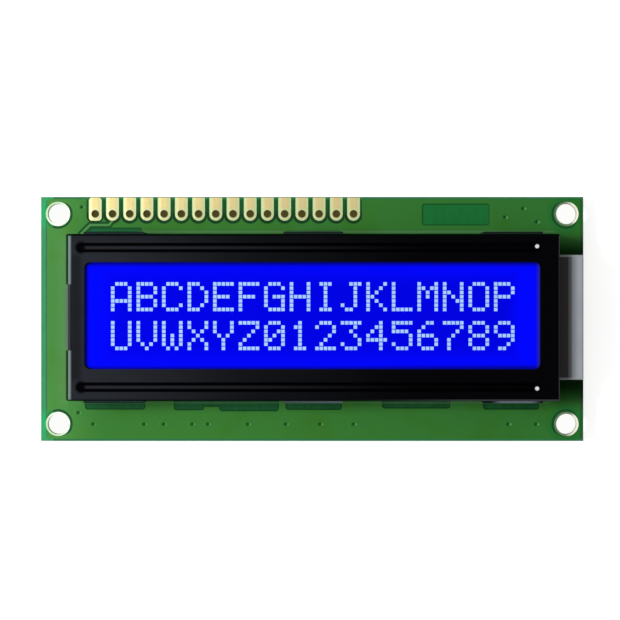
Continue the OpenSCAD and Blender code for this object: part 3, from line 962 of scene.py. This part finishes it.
def finishHousing():
    look = housingLook
    finish = Finish("housingPlastic")
    x, y = finish.x, finish.y
    grain = finish.noise(7)
    broad = finish.noise(0.5, 2, (1, 0.3, 1))
    shade = look["shadeUnderBezel"]
    for start, end, tint in look["bands"]:
        shade = finish.mix(fade(x, start, end), shade, tint)
    mottled = fade(broad, 0.4, 0.7) * fade(x, 37.6, 38.4)
    shade = finish.mix(mottled * 0.3, shade, look["mottling"])
    # painted highlights along the block's two long edges
    edgeHighlight = fade(abs(y - middleY), look["edgeInset"], look["edgeInset"] + 0.14)
    return finish.surface({
        "Base Color": finish.mix(edgeHighlight * 0.6, shade, look["edge"]),
        "Roughness": look["roughness"] + grain * 0.15,
        "Normal": finish.bump(grain, look["grainHeight"]),
        "Specular IOR Level": 0.15,
    })


rubberLook = {
    "conducting": (40, 40, 42),
    "plain": (186, 182, 176),
    "film": (150, 146, 140),
    "layerPitch": 0.18,
    "roughness": 0.62,
    "layerHeight": 0.01,
}


def finishContactRubber():
    # layers of conducting and plain rubber show as fine stripes
    look = rubberLook
    finish = Finish("contactRubber")
    stripe = fade(abs((finish.x % look["layerPitch"]) - look["layerPitch"] / 2), 0.035, 0.055)
    film = fade(finish.noise(1.2), 0.3, 0.7)
    shade = finish.mix(stripe, look["conducting"], look["plain"])
    return finish.surface({
        "Base Color": finish.mix(film * 0.25, shade, look["film"]),
        "Roughness": look["roughness"] + film * 0.1,
        "Normal": finish.bump(stripe, look["layerHeight"]),
    })


dress(finishGlass(), "front_glass", "rear_glass")
dress(finishHousing(), "backlight_housing")
dress(finishContactRubber(), "upper_contact_strip", "lower_contact_strip")
print("backlight done")


# behind the board

resinLook = {
    "black": (14, 14, 16),
    "blackPaler": (26, 26, 28),
    "roughness": 0.28,
    "flowHeight": 0.05,
}


def finishResin():
    look = resinLook
    finish = Finish("blackResin")
    flow = finish.noise(0.35, 3)
    fine = finish.noise(4.5, 3)
    pit = fade(finish.speckle(0.9), 0.14, 0.04)
    return finish.surface({
        "Base Color": finish.mix(fade(flow, 0.35, 0.7), look["black"], look["blackPaler"]),
        "Roughness": look["roughness"] + fine * 0.2 + pit * 0.2,
        "Normal": finish.bump(flow * 1.5 + fine * 0.3 - pit * 0.5, look["flowHeight"]),
        "Specular IOR Level": 0.4,
    })


resistorLook = {
    "ceramic": (222, 220, 212),
    "glaze": (22, 24, 28),
    "dust": (90, 90, 90),
    "roughness": 0.55,
    "grainHeight": 0.01,
}


def finishResistors():
    # white ceramic with a black glazed face towards the rear
    look = resistorLook
    finish = Finish("resistorCeramic")
    face = finish.z < boxOf("chip_resistors")[0].z + skin
    grain = finish.noise(6)
    shade = finish.mix(face, look["ceramic"], look["glaze"])
    return finish.surface({
        "Base Color": finish.mix(fade(grain, 0.4, 0.7) * 0.2, shade, look["dust"]),
        "Roughness": look["roughness"] - face * 0.2 + grain * 0.08,
        "Normal": finish.bump(grain, look["grainHeight"]),
    })


dress(finishResin(), "controller_resin", "driver_resin")
dress(finishResistors(), "chip_resistors")

traceLook = {
    "width": 0.26,
    "thick": 0.03,
    "pitch": 0.72,
    "viaWidth": 0.6,
    "firstLine": 2,
    "headerY": 14.6,
    "lowestLine": 8.9,
    "lineStep": 0.42,
    "slant": 0.8,
    "fanCount": 9,
    "fanSpread": 1.9,
    "fanEndY": -12.4,
    "busCount": 13,
    "busEndX": 29.6,
    "viaStagger": 0.8,
    "dropX": 13.0,
    "dropReach": 5.2,
    "tabs": (-28.8, 0.0, 28.8),
    "tabClear": 1.75,
    "overTrace": (46, 130, 62),
    "overTraceLight": (62, 146, 74),
    "cloudHeight": 0.02,
}


def headerPaths():
    # each line turns towards the controller, and steps aside where a tab stands in its way
    look = traceLook
    paths = []
    last = boardLook["headerCount"] - 1
    for number in range(look["firstLine"], boardLook["headerCount"]):
        start = boardLook["headerFirst"] + number * boardLook["headerPitch"]
        end = (number - last / 2) * look["pitch"] - look["dropX"]
        lane = start
        for tab in look["tabs"]:
            if abs(start - tab) < look["tabClear"]:
                lane = tab + math.copysign(look["tabClear"], start - tab)
        level = look["lowestLine"] + look["lineStep"] * (number if start < end else last - number)
        slant = min(abs(end - lane) / 2, look["slant"])
        side = math.copysign(slant, end - lane)
        aside = look["headerY"] - abs(lane - start)
        paths.append([(start, look["headerY"] + 0.1), (start, look["headerY"]), (lane, aside - 0.05),
                      (lane, level + slant), (lane + side, level), (end - side, level),
                      (end, level - slant), (end, look["dropReach"] - 0.6)])
    return paths


def fanPaths():
    # fans of lines leave the drops of resin towards a row of vias
    look = traceLook
    paths = []
    for centre in (-look["dropX"], look["dropX"]):
        for number in range(look["fanCount"]):
            offset = (number - (look["fanCount"] - 1) / 2) * look["pitch"]
            near, far = centre + offset, centre + offset * look["fanSpread"]
            reach = -look["dropReach"]
            paths.append([(near, reach), (near, reach - 3.2 + abs(offset) * 0.5),
                          (far, reach - 3.4 - abs(offset) * 0.4),
                          (far, look["fanEndY"] + (number % 2) * look["viaStagger"])])
    return paths


def busPaths():
    # a bus of lines joins the two drops, and as many leave for vias at the right
    look = traceLook
    drop, reach = look["dropX"], look["dropReach"]
    between, outwards = [], []
    for number in range(look["busCount"]):
        level = (number - (look["busCount"] - 1) / 2) * look["pitch"]
        close = level * 0.8
        between.append([(drop - reach, close), (drop - reach - 2, level),
                        (reach + 2 - drop, level), (reach - drop, close)])
        outwards.append([(drop + reach, close), (drop + reach + 2, level),
                         (look["busEndX"] + (number % 2) * look["viaStagger"], level)])
    return between, outwards


def addPath(shape, path):
    # the end face of a flat line is pulled along from bend to bend
    half, thick = traceLook["width"] / 2, traceLook["thick"]
    path = [Vector(place) for place in path]
    headings = [(end - start).normalized() for start, end in zip(path, path[1:])]
    rows = []
    for place, before, after in zip(path, headings[:1] + headings, headings + headings[-1:]):
        middle = (before + after).normalized()
        across = Vector((-middle.y, middle.x)) * half / max(middle.dot(after), 0.5)
        left, right = place - across, place + across
        corners = [(*left, 0), (*right, 0), (*right, -thick), (*left, -thick)]
        rows.append([Vector(corner) for corner in corners])
    end = shape.faces.new([shape.verts.new(corner) for corner in rows[0]])
    for here, there in zip(rows, rows[1:]):
        pulled = bmesh.ops.extrude_face_region(shape, geom=[end, *end.edges])["geom"]
        end = next(item for item in pulled if isinstance(item, bmesh.types.BMFace))
        for corner in end.verts:
            nearest = min(range(4), key=lambda number: (corner.co - here[number]).length)
            corner.co = there[nearest]


def rearTraces():
    look = traceLook
    shape = bmesh.new()
    fans = fanPaths()
    between, outwards = busPaths()
    for path in headerPaths() + fans + between + outwards:
        addPath(shape, path)
    radius = look["viaWidth"] / 2
    for path in fans + outwards:
        centre = Matrix.Translation((*path[-1], -look["thick"] / 2))
        bmesh.ops.create_cone(shape, cap_ends=True, segments=12, radius1=radius, radius2=radius,
                              depth=look["thick"] * 1.2, matrix=centre)
    bmesh.ops.recalc_face_normals(shape, faces=shape.faces)
    finish = Finish("maskedTraces")
    cloud = finish.noise(0.5)
    material = finish.surface({
        "Base Color": finish.mix(fade(cloud, 0.35, 0.7), look["overTrace"], look["overTraceLight"]),
        "Roughness": boardLook["maskRoughness"] + cloud * 0.08,
        "Normal": finish.bump(cloud, look["cloudHeight"]),
        "Specular IOR Level": 0.12,
    })
    addPiece("rear_traces", shape, material)


rearTraces()

filletLook = {
    "height": 0.36,
    "length": 0.3,
    "inset": 0.08,
    "hollow": (0.4, 0.3),  # where the slope bends in, as shares of its length and height
}


def islands(name):
    # the low and high corners of each separate solid of a node
    shape = bmesh.new()
    shape.from_mesh(nodes[name].data)
    shape.transform(nodes[name].matrix_world)
    bmesh.ops.remove_doubles(shape, verts=shape.verts, dist=1e-7)
    boxes = []
    seen = set()
    for first in shape.verts:
        if first in seen:
            continue
        seen.add(first)
        found = [first]
        for corner in found:
            for edge in corner.link_edges:
                other = edge.other_vert(corner)
                if other not in seen:
                    seen.add(other)
                    found.append(other)
        places = [corner.co / mm for corner in found]
        boxes.append((Vector(map(min, zip(*places))), Vector(map(max, zip(*places)))))
    shape.free()
    return boxes


def chipSolder():
    # a small hollow slope of solder from each chip's end down to its pad
    look = filletLook
    shape = bmesh.new()
    pads = islands("chip_pads")
    for low, high in islands("chip_ends"):
        middle = (low + high) / 2
        pad = min(pads, key=lambda box: ((box[0] + box[1]) / 2 - middle).xy.length)
        out = (pad[0] + pad[1]) / 2 - middle
        along = Vector((out.x, 0) if abs(out.x) > abs(out.y) else (0, out.y)).normalized()
        side = Vector((-along.y, along.x))
        size = high - low
        endFace = abs(along.dot(size.xy)) / 2
        half = abs(side.dot(size.xy)) / 2 - look["inset"]
        bend = (look["length"] * look["hollow"][0], look["height"] * look["hollow"][1])
        profile = [(0, 0), (look["length"], 0), bend, (0, look["height"])]
        corners = []
        for reach, rise in profile:
            spot = middle.xy + along * (endFace + reach) - side * half
            corners.append(shape.verts.new((*spot, pad[0].z - rise)))
        slope = bmesh.ops.extrude_face_region(shape, geom=[shape.faces.new(corners)])
        moved = [item for item in slope["geom"] if isinstance(item, bmesh.types.BMVert)]
        bmesh.ops.translate(shape, vec=(*(side * half * 2), 0), verts=moved)
    bmesh.ops.recalc_face_normals(shape, faces=shape.faces)
    addPiece("chip_solder", shape, metals["solderMetal"])


chipSolder()
print("rear of the board done")


# stage, light and camera

stageLook = {
    "white": (255, 255, 255),
    "floor": (236, 236, 236),
    "floorGlow": 0.66,
    "floorSize": 3000,
    "floorGap": 0.03,
    "stripHeight": 1.8,
    "backdropGap": 0.05,
    "strip": (76, 67, 30),
    "disc": (252, 253, 250),
    "discRadius": 1.65,
    "ambient": 0.45,
    "keyPower": 1.36,
    "keySize": 0.14,
    "keyPlace": (-260, 25, 360),
    "cameraAbove": 410,
    "sensorWidth": 36,
    "viewWidth": 91.47,
    "axisX": -0.32,
    "axisY": 1.32,
}


def seenBackdrop(tree):
    path = tree.add("ShaderNodeLightPath").socket.node
    rays = ("Is Camera Ray", "Is Glossy Ray", "Is Transmission Ray")
    return most(*(Wire(tree, path.outputs[ray]) for ray in rays))


def backdropOnly(name, shade):
    # seen as a plain colour, and not there at all for light and shadow
    finish = Finish(name)
    plain = finish.add("ShaderNodeEmission", None, {"Color": colour(*shade)})
    clear = finish.add("ShaderNodeBsdfTransparent")
    choice = finish.add("ShaderNodeMixShader", None, {0: seenBackdrop(finish), 1: clear, 2: plain})
    finish.add("ShaderNodeOutputMaterial", None, {"Surface": choice})
    return finish.material


def finishFloor():
    look = stageLook
    finish = Finish("paleFloor")
    plain = finish.add("ShaderNodeBsdfDiffuse", None, {"Color": colour(*look["floor"])})
    glow = finish.add("ShaderNodeEmission", None, {"Color": colour(*look["white"])})
    bright = finish.add("ShaderNodeAddShader", None, {0: plain, 1: glow})
    share = seenBackdrop(finish) * look["floorGlow"]
    both = finish.add("ShaderNodeMixShader", None, {0: share, 1: plain, 2: bright})
    finish.add("ShaderNodeOutputMaterial", None, {"Surface": both})
    return finish.material


def addPlane(name, shape, material):
    plane = addShape(name, shape, material)


def sheet(width, height, middle):
    shape = bmesh.new()
    matrix = Matrix.Translation(middle) @ Matrix.Diagonal((width, height, 1, 1))
    bmesh.ops.create_grid(shape, x_segments=1, y_segments=1, size=0.5, matrix=matrix)
    return shape


def addStage():
    look = stageLook
    size = look["floorSize"]
    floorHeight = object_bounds()[0].z / mm - look["floorGap"]
    addPlane("floor", sheet(size, size, (0, 0, floorHeight)), finishFloor())

    # a dark strip behind the small holes of the header, as painted shade in them, and bright discs behind
    # the large ones
    low, high = boxOf("header_pads")
    behind = low.z - look["backdropGap"]
    middle = ((low.x + high.x) / 2, boardLook["headerY"], behind)
    shape = sheet(high.x - low.x, look["stripHeight"], middle)
    addPlane("shade_strip", shape, backdropOnly("shadeStrip", look["strip"]))
    shape = bmesh.new()
    for x in (-boardLook["holeX"], boardLook["holeX"]):
        for y in (-boardLook["holeY"], boardLook["holeY"]):
            bmesh.ops.create_circle(shape, cap_ends=True, segments=32, radius=look["discRadius"],
                                    matrix=Matrix.Translation((x, y, behind)))
    addPlane("bright_discs", shape, backdropOnly("brightDiscs", look["disc"]))


def addWorld():
    look = stageLook
    world = bpy.data.worlds.new("studio")
    bpy.context.scene.world = world
    sky = Tree(world)
    white = colour(*look["white"])
    ambient = sky.add("ShaderNodeBackground", None, {"Color": white, "Strength": look["ambient"]})
    backdrop = sky.add("ShaderNodeBackground", None, {"Color": white, "Strength": 1})
    choice = sky.add("ShaderNodeMixShader", None, {0: seenBackdrop(sky), 1: ambient, 2: backdrop})
    sky.add("ShaderNodeOutputWorld", None, {"Surface": choice})


def addLamp(name, place, power, size):
    lamp = bpy.data.lights.new(name, "AREA")
    lamp.shape = "DISK"
    lamp.size = size
    lamp.energy = power
    holder = addObject(name, lamp)
    holder.location = Vector(place) * mm
    holder.rotation_euler = (-holder.location).to_track_quat("-Z", "Y").to_euler()


def addCamera():
    look = stageLook
    lens = bpy.data.cameras.new("camera")
    lens.sensor_width = look["sensorWidth"]
    lens.lens = look["sensorWidth"] * look["cameraAbove"] / look["viewWidth"]
    lens.clip_start = 0.01
    lens.clip_end = 10
    camera = addObject("camera", lens)
    camera.location = Vector((look["axisX"], look["axisY"], boardHigh.z + look["cameraAbove"])) * mm
    bpy.context.scene.camera = camera


addStage()
addWorld()
addLamp("keyLamp", stageLook["keyPlace"], stageLook["keyPower"], stageLook["keySize"])
addCamera()
bpy.context.scene.view_settings.view_transform = "Standard"
print("stage, light and camera done")
